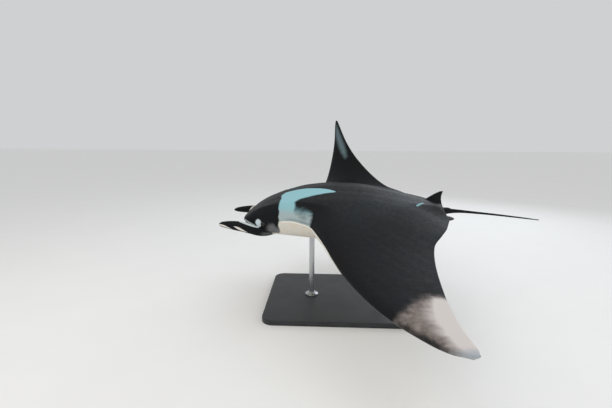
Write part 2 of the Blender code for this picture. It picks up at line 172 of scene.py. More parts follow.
def bendWings(points):
    bent = np.array(points)
    for sign, side in ((1, "left"), (-1, "right")):
        wing = flexing[side]
        picked = points[:, 1] * sign > 0
        x, y, z = points[picked].T
        span = np.abs(y)
        past = np.maximum((span - layout["wingStart"]) / (layout["halfSpan"] - layout["wingStart"]), 0)
        x = x + wing["sweep"] * past ** 1.5
        along, across = math.cos(wing["hinge"]), math.sin(wing["hinge"])
        ahead = along * (x - flexing["hingeX"]) + across * (span - flexing["hingeY"])
        out = along * (span - flexing["hingeY"]) - across * (x - flexing["hingeX"])
        reach = np.zeros_like(out)
        lift = np.zeros_like(out)
        outside = np.maximum(out, 0)

        def angle(distance):
            u = distance / flexing["span"]
            knee = flexing["knee"]
            turn = wing["root"] * np.minimum(u / knee, 1)
            turn = turn + (wing["tip"] - wing["root"]) * np.maximum(u - knee, 0) / (1 - knee)
            return turn + wing["twist"] * ahead * u

        steps = flexing["steps"]
        for i in range(steps):
            turn = angle(outside * (i + 0.5) / steps)
            reach += np.cos(turn) * outside / steps
            lift += np.sin(turn) * outside / steps
        tilt = angle(outside)
        # the chord turns about a line along the wing, more toward the tip
        share = outside / flexing["span"]
        line = wing["featherLine"] * share
        turn = wing["feather"] * share ** 2
        chord = ahead - line
        ahead = line + chord * np.cos(turn) - z * np.sin(turn)
        rise = chord * np.sin(turn) + z * np.cos(turn)
        reach -= np.sin(tilt) * rise
        lift += np.cos(tilt) * rise
        newX = flexing["hingeX"] + along * ahead - across * reach
        newY = flexing["hingeY"] + across * ahead + along * reach
        # body and tail stay as they are
        kept = np.where(out <= 0, 1.0, smooth(-x, 0.476, 0.500) * smooth(-span, -0.040, -0.020))
        bent[picked, 0] = newX + (x - newX) * kept
        bent[picked, 1] = sign * (newY + (span - newY) * kept)
        bent[picked, 2] = lift + (z - lift) * kept
    return bent


def toWorld(points):
    x, y, z = points.T
    return np.stack([width * y, -width * (x - layout["balanceX"]), width * z + layout["bodyHeight"]], 1)


# shells of flesh, each closed, as (points, faces) in the flat layout

def tube(loops, endFan=True):
    loops = np.array(loops)
    rows, count = loops.shape[:2]
    faces = []
    for r in range(rows - 1):
        a, b = r * count, (r + 1) * count
        faces += [(a + i, a + (i + 1) % count, b + (i + 1) % count, b + i) for i in range(count)]
    if endFan:
        faces.append(tuple(range(count))[::-1])
        faces.append(tuple((rows - 1) * count + i for i in range(count)))
    else:  # a thin band: its end is filled across its thickness
        last = (rows - 1) * count
        for i in range(count // 2 - 1):
            faces.append((count - 1 - i, count - 2 - i, i + 1, i))
            faces.append((last + i, last + i + 1, last + count - 2 - i, last + count - 1 - i))
    return loops.reshape(-1, 3), faces


def bodyShell():
    spans = np.linspace(-layout["halfSpan"], layout["halfSpan"], layout["sections"])
    s = eased(layout["sectionPoints"])
    y, s = np.meshgrid(spans, s, indexing="ij")
    front, rear = frontEdge(np.abs(y)), rearEdge(np.abs(y))
    x = front - (front - rear) * s
    top, bottom = bodyHeights(x, y)
    over = np.stack([x, y, top], -1)
    under = np.stack([x, y, bottom], -1)[:, -2:0:-1]
    return tube(np.concatenate([over, under], 1))


# the head fins are paddles, furled into scrolls that point forward
hornFin = {
    # station, span, height and radius of the scroll
    "axis": [(-0.092, 0.0930, -0.0195, 0.0030), (-0.076, 0.0965, -0.0246, 0.0058),
             (-0.056, 0.1005, -0.0262, 0.0090), (-0.036, 0.1030, -0.0229, 0.0119),
             (-0.012, 0.1020, -0.0160, 0.0136), (0.012, 0.0980, -0.0132, 0.0127),
             (0.031, 0.0935, -0.0122, 0.0104), (0.045, 0.0895, -0.0120, 0.0077),
             (0.0565, 0.0865, -0.0121, 0.0044)],
    "turns": 1.10, "startDegrees": -150, "sheet": 0.0038, "slack": 0.28, "flatten": 0.62,
    "tipRound": 0.010,
    "core": course([(-0.092, 0.84), (-0.012, 0.84), (0.008, 0.60), (0.026, 0.30)]),
    "coreEnd": 0.026,               # its root is solid inside, as far as this
    "reach": {1: 0.0, -1: 0.007},   # how much further forward the right one is held
}
hornLine = np.array(hornFin["axis"])
hornFront = hornLine[-1, 0]
hornY, hornZ, hornSize = (course(hornLine[:, [0, k]]) for k in (1, 2, 3))


def hornRadius(x):
    blunt = np.clip(1 - (hornFront - x) / hornFin["tipRound"], 0, 1)
    return hornSize(x) * np.sqrt(np.maximum(0.06, 1 - blunt ** 2))


def hornPlace(p):
    # at each point: station, outer radius, sideways and upward offsets, turn in degrees, share of the scroll
    x, y, z = p.T
    held = np.where((y < 0) & (x > 0), x / (1 + hornFin["reach"][-1] / hornFront), x)
    radius = np.maximum(hornRadius(held), 1e-4)
    across = (np.abs(y) - hornY(held)) / hornFin["flatten"]
    up = z - hornZ(held)
    turn = np.degrees(np.arctan2(up, across))
    share = np.mod(hornFin["startDegrees"] - turn, 360) / (360 * hornFin["turns"])
    return held, radius, across, up, turn, share


def hornShell(sign):
    loops = []
    turn = np.linspace(0, 1, 44)
    a = math.radians(hornFin["startDegrees"]) - 2 * math.pi * hornFin["turns"] * turn
    rim = np.sqrt(np.maximum(0, 1 - (1 - np.minimum(np.minimum(turn, 1 - turn) / 0.04, 1)) ** 2))
    for x in np.linspace(hornLine[0, 0], hornFront, 60):
        radius = float(hornRadius(x))
        outer = radius * (1 - hornFin["slack"] * turn)
        inner = outer - min(hornFin["sheet"], 0.40 * radius) * (0.75 + 0.25 * rim)
        held = x + hornFin["reach"][sign] * max(x, 0) / hornFront
        both = [np.stack([np.full_like(r, held), sign * (hornY(x) + hornFin["flatten"] * r * np.cos(a)),
                          hornZ(x) + r * np.sin(a)], 1) for r in (outer, inner)]
        loops.append(np.concatenate([both[0], both[1][::-1]]))
    return tube(loops, endFan=False)


def hornCore(sign):
    loops = []
    a = circle(32)
    for x in np.linspace(hornLine[0, 0], hornFin["coreEnd"], 40):
        radius = float(hornRadius(x)) * hornFin["core"](x)
        across = sign * (hornY(x) + hornFin["flatten"] * radius * np.cos(a))
        loops.append(np.stack([np.full_like(a, x), across, hornZ(x) + radius * np.sin(a)], 1))
    return tube(loops)


tailFin = {
    "end": -0.708,
    "drop": course([(0.440, 0.0060), (0.466, 0.0085), (0.50, 0.0090), (0.56, 0.0050), (0.65, -0.0040),
                    (0.71, -0.0110)]),
    "half": course([(0.440, 0.0190), (0.462, 0.0150), (0.478, 0.0095), (0.495, 0.0056), (0.52, 0.0038),
                    (0.56, 0.0028), (0.64, 0.0020), (0.71, 0.0011)]),
    "deep": course([(0.440, 0.0140), (0.462, 0.0120), (0.478, 0.0084), (0.495, 0.0056), (0.52, 0.0038),
                    (0.56, 0.0028), (0.64, 0.0020), (0.71, 0.0011)]),
}


def tailShell():
    loops = []
    a = circle(28)
    for x in np.linspace(-0.440, tailFin["end"], 120):
        blunt = math.sqrt(max(0.05, 1 - max(0.0, 1 - (x - tailFin["end"]) / 0.0015) ** 2))
        loops.append(np.stack([np.full_like(a, x), tailFin["half"](-x) * blunt * np.cos(a),
                               tailFin["drop"](-x) + tailFin["deep"](-x) * blunt * np.sin(a)], 1))
    return tube(loops)


dorsal = {
    "heights": (0.010, 0.0575), "edge": 0.0009,
    "lead": course([(0.010, -0.396), (0.018, -0.403), (0.030, -0.417), (0.038, -0.430), (0.046, -0.443),
                    (0.053, -0.455), (0.0575, -0.465)]),
    "trail": course([(0.010, -0.476), (0.018, -0.474), (0.030, -0.4705), (0.038, -0.4690), (0.046, -0.4690),
                      (0.053, -0.4705), (0.0575, -0.4730)]),
    "half": course([(0.010, 0.0062), (0.018, 0.0052), (0.030, 0.0043), (0.038, 0.0036), (0.046, 0.0029),
                    (0.053, 0.0021), (0.0575, 0.0014)]),
}


def dorsalShell():
    loops = []
    s = eased(25)
    for z in np.linspace(*dorsal["heights"], 34):
        half = dorsal["half"](z) * np.maximum(wingSection(s), 0) + dorsal["edge"]
        x = dorsal["lead"](z) + (dorsal["trail"](z) - dorsal["lead"](z)) * s
        left = np.stack([x, half, np.full_like(s, z)], 1)
        loops.append(np.concatenate([left, (left * (1, -1, 1))[::-1]]))
    return tube(loops, endFan=False)


pelvic = {
    "span": (0.013, 0.056), "front": -0.436, "level": -0.002, "half": 0.0044, "edge": 0.0010,
    "rear": course([(0.013, -0.4815), (0.024, -0.4890), (0.036, -0.4900), (0.047, -0.4850),
                    (0.056, -0.4750)]),
}


def pelvicShell(sign):
    loops = []
    s = eased(21)
    for y in np.linspace(*pelvic["span"], 20):
        half = pelvic["half"] * np.maximum(wingSection(s), 0) + pelvic["edge"]
        x = pelvic["front"] + (pelvic["rear"](y) - pelvic["front"]) * s
        over = np.stack([x, np.full_like(s, sign * y), pelvic["level"] + half], 1)
        under = np.stack([x, np.full_like(s, sign * y), pelvic["level"] - half], 1)
        loops.append(np.concatenate([over, under[::-1]]))
    return tube(loops, endFan=False)


def blobShell(centre, radii):
    loops = []
    a = circle(24)
    for t in np.linspace(0.06, math.pi - 0.06, 15):
        loops.append(np.array(centre) + np.array(radii) * np.stack(
            [np.full_like(a, math.cos(t)), math.sin(t) * np.cos(a), math.sin(t) * np.sin(a)], 1))
    return tube(loops)


eye = {"centre": (-0.0485, 0.1010, -0.006), "radius": 0.0300, "opening": (0.88, 0.68), "lid": 1.05}
orbit = {"centre": (-0.0495, 0.0966, -0.0045), "radii": (0.0210, 0.0098, 0.0120)}
spineStub = {"centre": (-0.480, 0.0, 0.0120), "radii": (0.0170, 0.0034, 0.0062)}      # behind the dorsal fin


def join(shells):
    points, faces, base = [], [], 0
    for p, f in shells:
        points.append(p)
        faces += [tuple(base + i for i in face) for face in f]
        base += len(p)
    return np.concatenate(points), faces


skinMesh = {"cell": 0.0060, "passes": 8, "thinPasses": 36, "finePasses": 4}    # cell in metres
shells = [bodyShell(), tailShell(), dorsalShell(), blobShell(spineStub["centre"], spineStub["radii"])]
for sign in (1, -1):
    shells += [hornShell(sign), hornCore(sign), pelvicShell(sign)]
    shells.append(blobShell(np.array(orbit["centre"]) * (1, sign, 1), orbit["radii"]))
points, faces = join(shells)
raw = bpy.data.meshes.new("rayRaw")
raw.from_pydata((points * width).tolist(), [], faces)
faceOutward(raw)
rayObject = addObject("raySkin", raw)
remesh = rayObject.modifiers.new("oneSkin", "REMESH")
remesh.mode = "VOXEL"
remesh.voxel_size = skinMesh["cell"]
remesh.adaptivity = 0
evaluated = rayObject.evaluated_get(bpy.context.evaluated_depsgraph_get())
skin = bpy.data.meshes.new_from_object(evaluated)
rayObject.modifiers.clear()
rayObject.data = skin
report(f"one skin of {len(skin.vertices)} points")


def fetch(items, key):
    flat = np.empty(len(items) * 3, np.float32)
    items.foreach_get(key, flat)
    return flat.reshape(-1, 3)


def read(mesh):
    return fetch(mesh.vertices, "co").astype(float)


def write(mesh, points):
    mesh.vertices.foreach_set("co", points.astype(np.float32).ravel())
    mesh.update()


def relax(mesh, points, passes, weight=None):
    # smoothing that doesn't shrink thin edges
    edges = np.empty(len(mesh.edges) * 2, np.int32)
    mesh.edges.foreach_get("vertices", edges)
    a, b = edges.reshape(-1, 2).T
    count = len(points)
    number = np.bincount(a, minlength=count) + np.bincount(b, minlength=count)
    number = np.maximum(number, 1)
    for i in range(passes * 2):
        strength = 0.55 if i % 2 == 0 else -0.57        # shrink, then grow a little more
        mean = np.stack([(np.bincount(a, points[b, k], count) + np.bincount(b, points[a, k], count)) / number
                         for k in range(3)], 1)
        move = strength * (mean - points)
        points = points + (move if weight is None else move * weight[:, None])
    return points


def settle(points):
    # draw the broad faces of body and wings back onto their true surface, away from joints and edges
    p = points / width
    x, y, z = p.T
    span = np.abs(y)
    top, bottom = bodyHeights(x, y)
    middle = (top + bottom) / 2
    target = np.where(z > middle, top, bottom)
    weight = smooth(frontEdge(span) - x, 0.003, 0.007) * smooth(x - rearEdge(span), 0.003, 0.007)
    weight *= smooth(layout["halfSpan"] - span, 0.002, 0.006)
    hornZone = smooth(x, -0.100, -0.085) * smooth(span, 0.075, 0.085)
    rearZone = smooth(-x, 0.385, 0.400) * smooth(-span, -0.075, -0.062)
    weight *= (1 - hornZone) * (1 - rearZone) * (np.abs(target - z) < 0.004)
    points = np.array(points)
    points[:, 2] += weight * (target - z) * width
    return points


def settleThin(points):
    # draw the wings' free edges, the head fins' outer face and the tail onto their true shape
    p = points / width
    x, y, z = p.T
    span = np.abs(y)
    front, rear = frontEdge(span), rearEdge(span)
    inside = np.clip(x, rear + 0.002, front - 0.002)
    top, bottom = bodyHeights(inside, y)
    high = np.abs(z - (top + bottom) / 2)
    edge = layout["edgeHalf"]
    bulge = 2.97 * wingHalf(span) / np.sqrt(front - rear)        # the section's own round front
    wing = smooth(-span, -0.490, -0.484)
    aims = ((rear + high ** 2 / edge, wing * smooth(span, 0.120, 0.145) * smooth(rear - x, -0.0040, -0.0022)),
            (front - (high / (math.sqrt(edge) + bulge)) ** 2,
             wing * smooth(span, 0.125, 0.140) * smooth(x - front, -0.0040, -0.0022)))
    for aim, weight in aims:
        weight = weight * smooth(-np.abs(x - aim), -0.0034, -0.0018)
        p[:, 0] += weight * (aim - p[:, 0])

    held, radius, across, up, _, share = hornPlace(p)
    reach = np.maximum(np.hypot(across, up), 1e-6)
    off = (1 - hornFin["slack"] * share) * radius - reach
    weight = smooth(held, 0.003, 0.010) * smooth(hornFront - held, 0.0005, 0.002) * smooth(span, 0.072, 0.080)
    weight *= smooth(-np.abs(off), -0.0026, -0.0014) * smooth(share, 0.01, 0.04)
    weight *= smooth(1 / hornFin["turns"] - share, 0.01, 0.04)
    grow = weight * off / reach
    p[:, 1] += np.sign(y) * grow * across * hornFin["flatten"]
    p[:, 2] += grow * up

    x, y, z = p.T
    drop, half, deep = (tailFin[key](-x) for key in ("drop", "half", "deep"))
    ring = np.maximum(np.hypot(y / half, (z - drop) / deep), 1e-6)
    grow = smooth(-x, 0.492, 0.502) * smooth(x - tailFin["end"], 0.0006, 0.0025) * (1 / ring - 1)
    p[:, 1] += grow * y
    p[:, 2] += grow * (z - drop)
    return p * width


def refine(mesh, chosen):
    # split the chosen faces once
    fine = bmesh.new()
    fine.from_mesh(mesh)
    fine.faces.ensure_lookup_table()
    edges = list(dict.fromkeys(e for i in np.nonzero(chosen)[0] for e in fine.faces[i].edges))
    bmesh.ops.subdivide_edges(fine, edges=edges, cuts=1, use_grid_fill=True)
    fine.to_mesh(mesh)
    fine.free()


points = relax(skin, read(skin), skinMesh["passes"])
x, y, z = (points / width).T
span = np.abs(y)
rearZone = smooth(-x, 0.455, 0.468) * smooth(-span, -0.075, -0.062)
dorsalZone = smooth(z - bodyHeights(x, y)[0], 0.002, 0.006) * smooth(-x, 0.385, 0.395)
dorsalZone *= smooth(-span, -0.030, -0.020)
hornZone = smooth(x, -0.095, -0.080) * smooth(span, 0.078, 0.086)
hornZone *= np.maximum(smooth(x, -0.020, 0.0), smooth(-z, 0.008, 0.014))
points = relax(skin, points, skinMesh["thinPasses"], np.maximum.reduce([rearZone, dorsalZone, hornZone]))
points = settleThin(settle(points))
write(skin, points)
x, y, z = fetch(skin.polygons, "center").T / width
headFaces = (x > -0.112) & (np.abs(y) < 0.135)
gillFaces = (z < -0.004) & (x > -0.222) & (x < -0.09) & (np.abs(y) < 0.118)
refine(skin, headFaces | gillFaces)
x, y, z = fetch(skin.polygons, "center").T / width
fromEye = np.hypot(x - eye["centre"][0], np.abs(y) - eye["centre"][1])
eyeFaces = np.hypot(fromEye, z - eye["centre"][2]) < 0.017
mouthFaces = (x > -0.020) & (np.abs(z + 0.006) < 0.010) & (np.abs(y) < 0.094)
refine(skin, eyeFaces | mouthFaces)
points = read(skin)
points = settleThin(relax(skin, points, skinMesh["finePasses"]))
write(skin, points)
report(f"head and gills refined, {len(skin.vertices)} points")

# relief: mouth, gill slits, eyelids, spiracles, muscle

relief = {
    "mouthHalf": 0.076, "mouthDeep": 0.0030, "mouthWide": 0.0017, "lip": 0.0011,
    "gillDeep": 0.0026, "gillWide": 0.0013, "gillFlap": 0.0011,
    "finRays": 0.00006, "muscle": 0.0010, "spiracle": 0.0016, "cheek": 0.0010, "lidRoll": 0.09,
}
# each gill slit: station, inner and outer span, how far it bows forward
gillSlits = [(-0.112, 0.042, 0.094, 0.010), (-0.131, 0.040, 0.092, 0.010), (-0.150, 0.038, 0.088, 0.009),
             (-0.168, 0.036, 0.081, 0.008), (-0.185, 0.034, 0.071, 0.006)]


def gillField(p):
    # signed distance behind the nearest slit, and how much of a slit is there
    x, y, z = p.T
    span = np.abs(y)
    nearest = np.full(len(x), 1.0)
    there = np.zeros(len(x))
    for station, inner, outer, bow in gillSlits:
        middle, half = (inner + outer) / 2, (outer - inner) / 2
        u = (span - middle) / half
        line = station + bow * (1 - u * u) - 0.010 * (u < 0) * u * u
        gap = line - x
        inside = smooth(half - np.abs(span - middle), -0.0005, 0.006)
        closer = np.abs(gap) < np.abs(nearest)
        nearest = np.where(closer, gap, nearest)
        there = np.where(closer, inside, there)
    return nearest, there * smooth(-z, 0.004, 0.010)


def mouthField(p):
    # where the mouth is, and the height above its line
    x, y, z = p.T
    span = np.abs(y)
    line = -0.0050 - 0.0030 * (span / relief["mouthHalf"]) ** 2
    return smooth(relief["mouthHalf"] - span, -0.001, 0.006) * smooth(x, -0.022, -0.012), z - line


def spiracleField(p):
    # small slit above and behind each eye
    x, y, z = p.T
    off = np.hypot((x + 0.0700) / 3.2, z - 0.0125 - 0.16 * (x + 0.07)) + 10 * (np.abs(y) < 0.08)
    return bump(off, 0.0011)


p = points / width
x, y, z = p.T
span = np.abs(y)
normals = fetch(skin.vertex_normals, "vector").astype(float)
move = np.zeros_like(p)
mouthThere, fromMouth = mouthField(p)
move[:, 0] -= mouthThere * relief["mouthDeep"] * bump(fromMouth, relief["mouthWide"])
bothLips = bump(fromMouth - 0.0042, 0.0022) + 0.7 * bump(fromMouth + 0.0044, 0.0024)
move[:, 0] += mouthThere * relief["lip"] * bothLips
gillGap, gillThere = gillField(p)
push = gillThere * relief["gillFlap"] * bump(gillGap + 0.0042, 0.0030)
push -= gillThere * relief["gillDeep"] * bump(gillGap, relief["gillWide"])
push -= relief["spiracle"] * spiracleField(p)
# fin rays fan back through the wings; long muscles run beside the spine
fan = np.arctan2(span - 0.06, -(x + 0.02)) * 90
push += relief["finRays"] * np.sin(fan) * smooth(span, 0.15, 0.24) * smooth(x - rearEdge(span), 0.000, 0.020)
muscle = (bump(span - 0.030, 0.016) - 0.8 * bump(span, 0.012)) * smooth(z, 0.004, 0.012)
push += relief["muscle"] * muscle * smooth(-x, 0.09, 0.14) * smooth(x, -0.42, -0.36)
push += relief["cheek"] * bump(np.hypot((x + 0.064) / 1.4, z + 0.012), 0.010) * smooth(span, 0.07, 0.085)
p = p + move + normals * push[:, None]

# eyelids: skin drapes over the ball, and opens as a long oval
ball = eye["radius"] / width
for sign in (1, -1):
    middle = np.array(eye["centre"]) * (1, sign, 1)
    arm = p - middle
    distance = np.linalg.norm(arm, axis=1)
    near = (distance < ball * 2.2) & (arm[:, 1] * sign > 0.15 * distance)
    aim = arm / np.maximum(distance, 1e-9)[:, None]
    oval = np.hypot(aim[:, 0] / eye["opening"][0], (aim[:, 2] - 0.10 * aim[:, 0]) / eye["opening"][1])
    isOpen = smooth(-oval, -1.03, -0.93)
    lid = ball * (eye["lid"] + relief["lidRoll"] * bump(oval - 1.18, 0.15))
    hold = smooth(-oval, -1.9, -1.25) * smooth(ball * 2.2 - distance, 0.0, ball * 0.5)
    wanted = distance + (np.maximum(distance, lid) - distance) * hold
    wanted = wanted * (1 - isOpen) + ball * 0.90 * isOpen
    p = np.where(near[:, None], middle + aim * wanted[:, None], p)
points = relax(skin, p * width, 1)
write(skin, points)
report("mouth, gills and eyelids shaped")

# markings and painted light, as fields on the flat ray: positive inside, one unit per soft edge


def lineDistance(x, y, line):
    # metres from an open line
    best = np.full(len(x), 9.0)
    for (ax, ay), (bx, by) in zip(line, line[1:]):
        dx, dy = bx - ax, by - ay
        t = np.clip(((x - ax) * dx + (y - ay) * dy) / (dx * dx + dy * dy), 0, 1)
        best = np.minimum(best, np.hypot(x - ax - t * dx, y - ay - t * dy))
    return best * width


def signedDistance(x, y, outline):
    # metres, positive inside a closed outline
    ring = outline + outline[:1]
    inside = np.zeros(len(x), bool)
    for (ax, ay), (bx, by) in zip(ring, ring[1:]):
        crosses = (ay > y) != (by > y)
        inside ^= crosses & (x < ax + (y - ay) / (by - ay or 1e-9) * (bx - ax))
    away = lineDistance(x, y, ring)
    return np.where(inside, away, -away)


markings = {
    # pale shoulder hook: straight in front, one lobe back beside the spine, one out along the shoulder
    "hook": [(-0.090, 0.0265), (-0.0870, 0.044), (-0.0855, 0.070), (-0.0860, 0.100), (-0.0865, 0.130),
             (-0.120, 0.160), (-0.148, 0.160), (-0.1555, 0.150), (-0.155, 0.1435), (-0.146, 0.1375),
             (-0.132, 0.1320), (-0.1215, 0.125), (-0.1225, 0.117), (-0.134, 0.106), (-0.152, 0.0965),
             (-0.178, 0.0885), (-0.206, 0.0800), (-0.207, 0.0725), (-0.196, 0.062), (-0.175, 0.050),
             (-0.145, 0.038), (-0.115, 0.029), (-0.098, 0.0255)],
    "hookShift": 0.005,       # the dark bar between the hooks lies a little to the left
    "tipGrey": [(-0.269, 0.418), (-0.277, 0.407), (-0.286, 0.397), (-0.303, 0.3835), (-0.326, 0.3675),
                (-0.342, 0.371), (-0.362, 0.378), (-0.380, 0.440), (-0.360, 0.530), (-0.338, 0.512),
                (-0.3260, 0.497), (-0.3155, 0.486), (-0.3050, 0.472), (-0.295, 0.456), (-0.284, 0.440),
                (-0.2725, 0.4275)],
    "tipWhite": [(-0.331, 0.3705), (-0.320, 0.387), (-0.311, 0.402), (-0.3055, 0.418), (-0.3055, 0.436),
                 (-0.3080, 0.456), (-0.3130, 0.476), (-0.322, 0.493), (-0.350, 0.520), (-0.380, 0.440),
                 (-0.362, 0.378), (-0.344, 0.3700)],
    # the far wing's pale tip patch, painted as it lies in shade
    "farTipInShade": [(-0.311, 0.376), (-0.327, 0.384), (-0.335, 0.410), (-0.337, 0.445), (-0.335, 0.487),
                  (-0.316, 0.485), (-0.298, 0.455), (-0.296, 0.425), (-0.300, 0.398)],
    "rearStreak": [(-0.386, 0.093), (-0.396, 0.0805), (-0.407, 0.066)],
    "lip": [(0.004, -0.0010), (-0.0010, -0.0020), (-0.0160, -0.0066), (-0.0300, -0.0112), (-0.0380, -0.0132)],
    # each pale stroke on a head fin: station and turn of its two ends, half width in metres;
    # the last faces inward
    "hornStrokes": [((0.0585, 8), (0.0235, -48), 0.0135), ((0.0165, 2), (-0.0120, -46), 0.0180),
                    ((0.0185, 180), (0.0050, 92), 0.0150)],
    "blotch": {"x": -0.0382, "z": -0.0040, "long": 0.0076, "high": 0.0090},      # pale patch before the eye
    "bellySpots": 26, "spotSeed": 11,
    # how wide each soft edge is, in metres
    "soft": {"hook": 0.011, "hookLobe": 0.027, "tipGrey": 0.030, "tipInner": 0.050, "tipWhite": 0.022,
             "tipAhead": 0.030, "farTipInShade": 0.060, "rearStreak": 0.012, "seam": 0.006, "spots": 0.008,
             "strokeEnds": 0.010},
}

p = read(skin) / width
x, y, z = p.T
left = y > 0
span = np.abs(y)
front, rear = frontEdge(span), rearEdge(span)
onTail = smooth(-x, 0.470, 0.482) * smooth(-span, -0.030, -0.018)

soft = markings["soft"]
wobble = 0.0012 * np.sin(span * 95) + 0.0009 * np.sin(span * 210 + z * 350 + 1.0)
hookSpan = np.abs(y - markings["hookShift"] * smooth(-span, -0.06, -0.03))
hook = signedDistance(x + wobble, hookSpan, markings["hook"])
hook = hook / (soft["hook"] + soft["hookLobe"] * smooth(-x, 0.096, 0.150) * smooth(span, 0.080, 0.112))
# painted light: the hook's lower part, lit from the side, where its colour is less blue than the top lit from
# above
hookSideLit = smooth(-z, -0.039, -0.016)
tipGrey = signedDistance(x, span, markings["tipGrey"])
tipGrey = tipGrey / (soft["tipGrey"] + soft["tipInner"] * smooth(-span, -0.45, -0.39))
tipWhite = signedDistance(x, span, markings["tipWhite"])
tipWhite = tipWhite / (soft["tipWhite"] + soft["tipAhead"] * smooth(x, -0.328, -0.312))
# painted shade: the far wing's pale tip patch, laid in a darker, bluer grey than the near wing's white
farTipInShade = signedDistance(x, span, markings["farTipInShade"]) / soft["farTipInShade"]
tipGrey, tipWhite = (np.where(left, field, -4) for field in (tipGrey, tipWhite))
farTipInShade = np.where(left, -4, farTipInShade)
tipCool = np.where(left, smooth(span, 0.468, 0.500), 0)
rearStreak = np.where(left, 1 - lineDistance(x, y, markings["rearStreak"]) / soft["rearStreak"], -4)

# where back meets belly: the white laps up round the leading edge near the body, further out the black
# laps down, and the sides of the head are dark
seamLine = {"lapUp": 0.0030, "lapDown": 0.0016, "shoulderRise": 0.0034, "hindDrop": 0.0055,
            "headBack": -0.0858, "headUnder": -0.0245}
seam = seamLine["lapUp"] * smooth(-span, -0.30, -0.24) - seamLine["lapDown"] * smooth(span, 0.27, 0.33)
seam += seamLine["shoulderRise"] * bump(x + 0.115, 0.022) * smooth(span, 0.096, 0.112)
seam -= seamLine["hindDrop"] * smooth(-(x - rear), -0.026, -0.006)
behindHead = seamLine["headBack"] - x - wobble
under = np.minimum(seam - z, behindHead / 3)
under = np.maximum(under, (seamLine["headUnder"] - z) / 3) * width / soft["seam"]
under = np.where(onTail > 0.5, -4, under)
onShoulder = smooth(span, 0.098, 0.112) * smooth(behindHead, 0.000, 0.010) * smooth(x, -0.250, -0.200)
# rim: a painted highlight, a bright line along the ridge where the wing's leading edge runs onto the head
rim = bump(z - seam + 0.0014, 0.0021) * onShoulder * smooth(-span, -0.30, -0.20)
lobeShade = bump(z - seam - 0.0040, 0.0034) * onShoulder
lobeShade *= smooth(-span, -0.165, -0.140) * smooth(behindHead, 0.0, 0.030)

# side of the head
eyeX, eyeY, eyeZ = eye["centre"]
onSide = smooth(span, 0.080, 0.094)
cheek = smooth(-z, -0.0060, 0.0150) * smooth(z, -0.0255, -0.0200) * smooth(-x, 0.047, 0.072) * onSide
cheek *= (1 - smooth(-x, 0.0700, 0.0840) * smooth(z, -0.0200, -0.0040)) * smooth(x, -0.0900, -0.0850)
eyeRing = bump(np.hypot(x - eyeX, (z - eyeZ) * 1.15), 0.0078) * onSide
patch = markings["blotch"]
above = z - patch["z"]
blotchReach = np.hypot((x - patch["x"] - 0.12 * above) / (patch["long"] - 0.10 * np.clip(-above, 0, 0.03)),
                       above / patch["high"])          # narrower toward its foot
blotch = np.where((span > 0.07) & (x < -0.02) & (x > -0.05), (1 - blotchReach) * 2.4, -4)
lip = lineDistance(x, z, markings["lip"])
lip = 1.1 - lip / (0.0085 - 0.0035 * smooth(-x, 0.02, 0.04)) - 1.8 * smooth(-span, -0.079, -0.062)
lip = np.where((span > 0.055) & (x < 0.006), lip, -4)

# furled fins: how far round the scroll a point lies, and whether it is on the outer face
alongHorn, radius, acrossHorn, upHorn, hornTurn, turned = hornPlace(p)
hornDepth = 1 - hornFin["slack"] * turned - np.hypot(acrossHorn, upHorn) / radius
onHorn = np.maximum(smooth(x, 0.001, 0.006),
                    smooth(x, -0.062, -0.030) * smooth(span, 0.094, 0.101) * smooth(-z, 0.0085, 0.0125))
onHorn = onHorn * smooth(span, 0.070, 0.078)
onHorn = np.maximum(onHorn, smooth(x, -0.020, -0.008) * smooth(span, 0.088, 0.093) * smooth(-z, 0.001, 0.004))
hornInner = smooth(hornDepth, 0.14, 0.24) * (x > 0.001) * smooth(span, 0.070, 0.078)
hornWhite = np.full(len(x), -4.0)
for (startX, startTurn), (endX, endTurn), half in markings["hornStrokes"]:
    t = np.clip((startX - alongHorn) / (startX - endX), 0, 1)
    off = np.mod(hornTurn - startTurn - (endTurn - startTurn) * t + 180, 360) - 180
    taper = 0.15 + 0.85 * np.sin(math.pi * np.clip(t, 0.04, 0.96))
    off = np.abs(np.radians(off)) * radius * width / (half * taper)
    beyond = np.maximum(alongHorn - startX, endX - alongHorn) * width
    hornWhite = np.maximum(hornWhite, 1.3 - off - np.maximum(beyond, 0) / soft["strokeEnds"])
hornWhite = np.where((hornDepth < 0.15) & (span > 0.07) & (x > -0.020), hornWhite, -4)

gillGap, gillThere = gillField(p)
mouthThere, fromMouth = mouthField(p)
# slit: the dark red inside the gill slits, mouth and spiracles, with painted shade for their depth
slit = gillThere * bump(gillGap, 0.0024) + mouthThere * bump(fromMouth, 0.0016) + spiracleField(p) * 0.9

# underneath: dusky hind margins, wing tips and mouth, and the dark spots between the gills and the vent
dusk = np.maximum.reduce([
    smooth(-(x - rear), -0.050, -0.012) * smooth(span, 0.10, 0.16),
    smooth(span, 0.40, 0.475) * 0.75,
    smooth(-(front - x), -0.016, -0.004) * smooth(span, 0.24, 0.34),
    smooth(x, -0.040, -0.012) * smooth(-span, -0.092, -0.070) * 0.8,
    smooth(x, -0.082, -0.060) * smooth(span, 0.074, 0.090) * 0.95,
])
spots = 0.0095 - np.hypot(x + 0.2025 + 20 * (span - 0.062) ** 2, (span - 0.060) / 2.1)
scatter = np.random.default_rng(markings["spotSeed"])
for i in range(markings["bellySpots"]):
    spotX = -0.255 - 0.150 * scatter.random()
    spotY = (scatter.random() - 0.5) * (0.19 - 0.25 * abs(spotX + 0.31))
    size = 0.0020 + 0.0042 * scatter.random() ** 2
    stretch = 0.8 + 0.5 * scatter.random()
    spots = np.maximum(spots, size - np.hypot(x - spotX, (y - spotY) * stretch))
spots = spots * width / soft["spots"]


def keep(mesh, name, values):
    # lays a number or a vector on every point, for the material to read
    kind, slot = ("FLOAT_VECTOR", "vector") if values.ndim == 2 else ("FLOAT", "value")
    mesh.attributes.new(name, kind, "POINT").data.foreach_set(slot, values.astype(np.float32).ravel())


